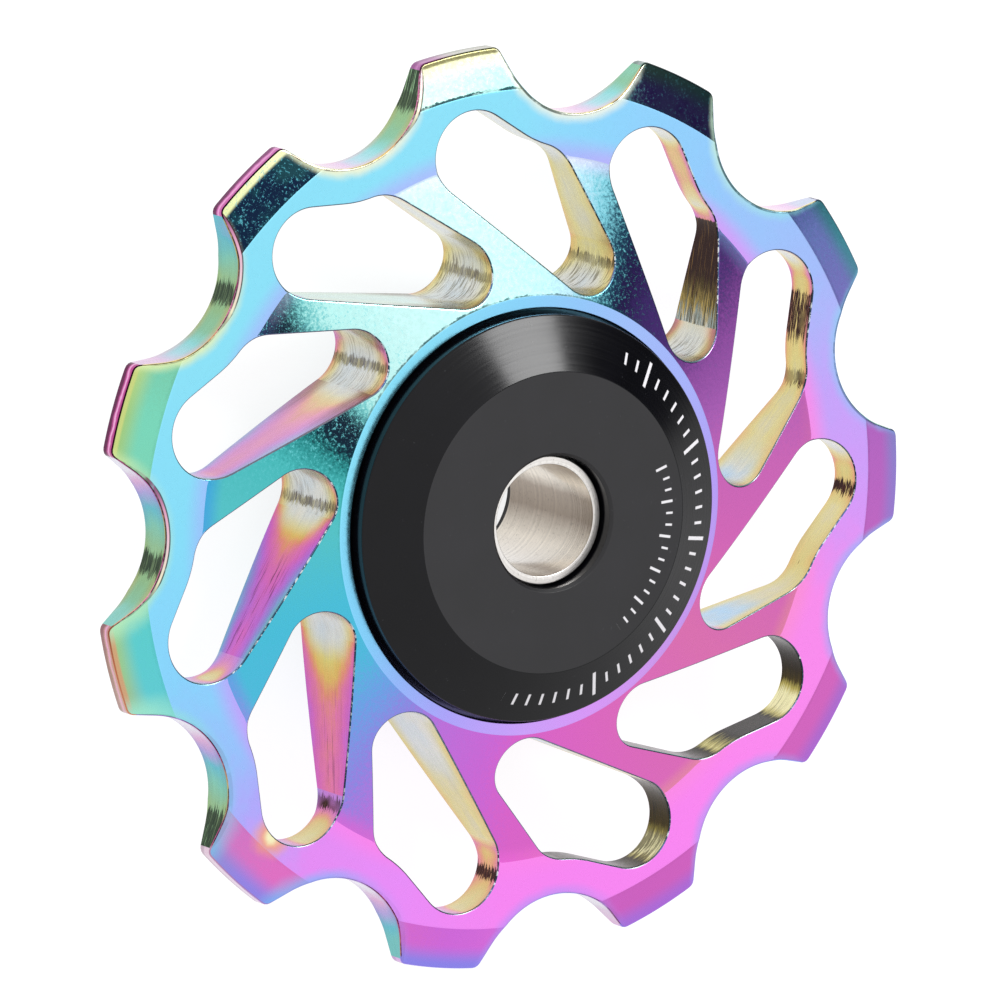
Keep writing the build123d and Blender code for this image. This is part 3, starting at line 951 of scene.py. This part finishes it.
# The caps, the bearing and the sleeve
cap_hole = 3.1
cap_r = 9.45
cap_face_r = 7.0
cap_top = 4.55
cap_edge = 3.25
cap_roof = 2.95
cap_skirt = 2.15
cap_inside = 8.65
boss_r = 4.4
hole_break = 0.14
half_bearing = 2.5
sleeve_low, sleeve_high = -3.4, 3.8
bolt_r, sleeve_r = 2.6, 3.0
cap_points = 360
sleeve_points = 240
arc_margin = 40  # the ticks' arcs are counted from this many degrees before +X, so that one can cross it


def rings(p, scale):
    """Fine turned lines round the axis."""
    return p.noise(1.0, 2, 0.6, p.node("CombineXYZ", [p.radius * scale, p.z * scale]))


def tick_marks(p, first, last, every, low, high, width):
    """Plain tick marks between two radii, over an arc of the cap. first, last and every are in degrees."""
    turn = p.math("FRACT", p.angle + (arc_margin - every / 2) / 360) * 360
    share = p.math("FRACT", turn / every) - 0.5
    across = p.math("ABSOLUTE", share) * (p.radius * (every * 2 * math.pi / 360))
    tick = p.span(across, width / 2 - 0.015, width / 2 + 0.015, 1, 0)
    along = p.span(p.radius, low - 0.02, low + 0.02) * p.span(p.radius, high - 0.02, high + 0.02, 1, 0)
    in_arc = p.math("GREATER_THAN", turn, first + arc_margin) * p.math("LESS_THAN", turn, last + arc_margin)
    return tick * along * in_arc


def cap_paint(name, tone, roughness, specular, ticks):
    p = Paint(name)
    dust = p.span(p.noise(4.5, 2, 0.6), 0.72, 0.76, 0, 0.35)
    smear = p.span(p.noise(0.35, 3, 0.6), 0.35, 0.75, 0.8, 1.3)
    colour = p.times(p.mix(dust, tone, "3c3c40"), smear)
    white = 0.0
    for tick in ticks:
        white = p.math("MAXIMUM", white, tick_marks(p, *tick))
    if ticks:
        worn = p.span(p.noise(9, 3, 0.7), 0.25, 0.4, 0.75, 1)
        colour = p.mix(white * worn, colour, "d8d6da")
    lines = rings(p, 9)
    p.bump(lines, 0.12)
    rough = p.span(lines, 0.2, 0.8, roughness - 0.04, roughness + 0.05) + white * 0.3
    return p.set(Base_Color=colour, Roughness=rough, Specular_IOR_Level=specular)


def cap_materials(side, outer_ticks, inner_ticks):
    return [
        cap_paint(side + "_cone_black", "08080c", 0.17, 0.25, outer_ticks),
        cap_paint(side + "_face_black", "0f0e13", 0.42, 0.55, inner_ticks),
    ]


def add_cap(name, side, materials):
    """A cap in the hub's recess: material 1 on its flat outer face, and 0 on the rest."""
    outline = [
        (cap_hole, half_bearing, 0), (boss_r, half_bearing, 0), (boss_r, cap_roof, 0), (cap_inside, cap_roof, 0),
        (cap_inside, cap_skirt, 0), (cap_r, cap_skirt, 0.05), (cap_r, cap_edge, 0.12), (cap_face_r, cap_top, 0.1),
        (cap_hole + hole_break, cap_top, 0.03), (cap_hole, cap_top - hole_break, 0.03),
    ]
    if side < 0:
        outline = [(r, -z, e) for r, z, e in reversed(outline)]
    ring = lathe(outline, cap_points, lambda r, z: 1 if r < cap_face_r - 0.04 and abs(z) > cap_top - 0.2 else 0)
    cap = ring.build(name, materials)
    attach(cap, "axle_group")
    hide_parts("front_cap" if side > 0 else "rear_cap")


# Each tick: first and last angle, spacing, inner and outer radius, and width
outer_ticks = [(-17, 148, 5, 8.05, 8.6, 0.13), (-17, 148, 30, 7.7, 8.95, 0.17)]
inner_ticks = [(33, 106, 5, 6.1, 6.45, 0.1), (33, 106, 15, 5.85, 6.45, 0.12)]
add_cap("cap_front", 1, cap_materials("front", outer_ticks, inner_ticks))
add_cap("cap_rear", -1, cap_materials("rear", [], []))


def steel_paint(name, stops, roughness, line_scale, line_bump, slant=0.0):
    """Turned steel, with lines along its surface and painted shading: a soft change of tone by the way it faces, in
    place of reflected light and shade.
    """
    p = Paint(name)
    tone = p.around(stops, shaken(p, p.facing, 8, 1.5))
    place = p.node("CombineXYZ", [p.z * line_scale + p.angle * slant, p.radius * line_scale])
    lines = p.noise(1.0, 3, 0.6, place)
    p.bump(lines, line_bump)
    fleck = p.span(p.noise(9, 2, 0.7), 0.3, 0.4, 0.7, 1)
    colour = p.times(p.times(tone, p.span(lines, 0.3, 0.7, 0.86, 1.1)), fleck)
    return p.set(Base_Color=colour, Metallic=1.0, Roughness=roughness)


sleeve_outline = [
    (bolt_r, sleeve_low, 0.04), (sleeve_r, sleeve_low, 0.08),
    (sleeve_r, sleeve_high, 0.08), (bolt_r, sleeve_high, 0.04),
]
# Painted shading of the sleeve's end face and bore by the way they face: lighter and darker bands of reflected light.
end_shading = {0: "f0ece8", 180: "fcf8f4"}
bore_shading = {0: "f0ece6", 40: "f0eae2", 75: "c8beb0", 105: "b0a698", 150: "e0dad2", 190: "f8f4f0", 230: "e8e0d4",
    262: "988c80", 285: "a89c90", 300: "f0e8dc", 330: "fcf4e8"}
sleeve = lathe(sleeve_outline, sleeve_points, lambda r, z: 1 if r < bolt_r + 0.01 else 0).build("sleeve", [
    steel_paint("sleeve_end", end_shading, 0.3, 8, 0.3),
    steel_paint("sleeve_bore", bore_shading, 0.2, 5, 0.5, 1.0),
])
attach(sleeve, "axle_group")
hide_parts("axle_sleeve")


def plain(name, colour, roughness, metallic=1.0):
    """A material for a piece inside the hub."""
    paint = Paint(name)
    tone = paint.span(paint.noise(3, 3), 0.3, 0.7, 0.92, 1.08)
    paint.bump(paint.noise(20, 2), 0.15, 0.00001)
    return paint.set(Base_Color=paint.times(colour, tone), Metallic=metallic, Roughness=roughness)


inner_materials = {
    "bearing_inner_race": plain("bearing_steel", "c8c8ca", 0.15),
    "seal": plain("seal_rubber", "141415", 0.6, 0.0),
    "cage": plain("cage_steel", "b0aeaa", 0.3),
    "ball": plain("ceramic", "28282b", 0.15, 0.0),
}
inner_materials["bearing_outer_race"] = inner_materials["bearing_inner_race"]
for node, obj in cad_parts.items():
    for part, material in inner_materials.items():
        if part in node:
            obj.data.materials.clear()
            obj.data.materials.append(material)
            break


def add_camera():
    """A long lens, looking down at the front face with one tooth towards the right of the frame."""
    data = bpy.data.cameras.new("camera")
    data.lens = 561.017
    data.sensor_width = 36
    data.clip_start = 0.05
    data.clip_end = 10
    camera = linked("camera", data)
    right = (-0.02225757, 0.84900705, 0.52791252)
    up = (-0.98453046, 0.07317979, -0.15919951)
    back = (-0.17379404, -0.52328936, 0.8342445)
    place = (-0.124825, -0.374956, 0.597707)
    camera.matrix_world = Matrix([[right[i], up[i], back[i], place[i]] for i in range(3)] + [[0, 0, 0, 1]])
    bpy.context.scene.camera = camera


WHITE = (1, 1, 1, 1)


def grey(level):
    return (level, level, level, 1)


def add_stage():
    """A floor: white paper to the camera and in reflections, and a plain pale surface to all other light."""
    data = bpy.data.meshes.new("floor")
    z = -(cap_top + 0.01) / 1000
    s = 1.5
    data.from_pydata([(-s, -s, z), (s, -s, z), (s, s, z), (-s, s, z)], [], [(0, 1, 2, 3)])
    floor = linked("floor", data)
    material = bpy.data.materials.new("floor")
    nodes = Nodes(material, "ShaderNodeOutputMaterial")
    glow = nodes.node("Emission", [WHITE, 0.86])
    paper = nodes.node("AddShader", [nodes.node("BsdfDiffuse", [grey(0.25)]), glow])
    plain_floor = nodes.node("BsdfDiffuse", [grey(0.8)])
    to_camera, to_gloss = (nodes.node("LightPath", output="Is " + ray + " Ray") for ray in ("Camera", "Glossy"))
    seen = nodes.math("MAXIMUM", to_camera, to_gloss)
    nodes.put(nodes.surface, nodes.node("MixShader", [seen, plain_floor, paper]))
    data.materials.append(material)


def add_light():
    """A pale sky with one dark card, white where the camera sees it, and a round lamp."""
    world = bpy.data.worlds.new("world")
    bpy.context.scene.world = world
    nodes = Nodes(world, "ShaderNodeOutputWorld")
    ray = nodes.node("TexCoord", output="Generated")
    sky = nodes.span(nodes.split(ray)[2], -0.2, 1.0, 0.8, 0.98)
    to_card = Vector((-0.335, 0.88, 0.337)).normalized()
    near_card = nodes.node("VectorMath", [ray, to_card], "Value", operation="DOT_PRODUCT")
    card_rim, card_core = (math.cos(math.radians(degrees)) for degrees in (24, 13))
    card = nodes.span(near_card, card_rim, card_core, 1.0, 0.05, True)
    strength = nodes.math("MAXIMUM", sky * card, nodes.node("LightPath", output="Is Camera Ray"))
    nodes.put(nodes.surface, nodes.node("Background", [WHITE, strength]))
    data = bpy.data.lights.new("key", "AREA")
    data.shape = "DISK"
    data.size = 0.18
    data.energy = 1.25
    lamp = linked("key", data)
    to_lamp = Vector((-0.6187, 0.3978, 0.6778)).normalized()
    lamp_distance = 0.45
    lamp.location = to_lamp * lamp_distance
    lamp.rotation_euler = to_lamp.to_track_quat("Z", "Y").to_euler()


add_camera()
add_stage()
add_light()
bpy.context.scene.view_settings.view_transform = "Standard"
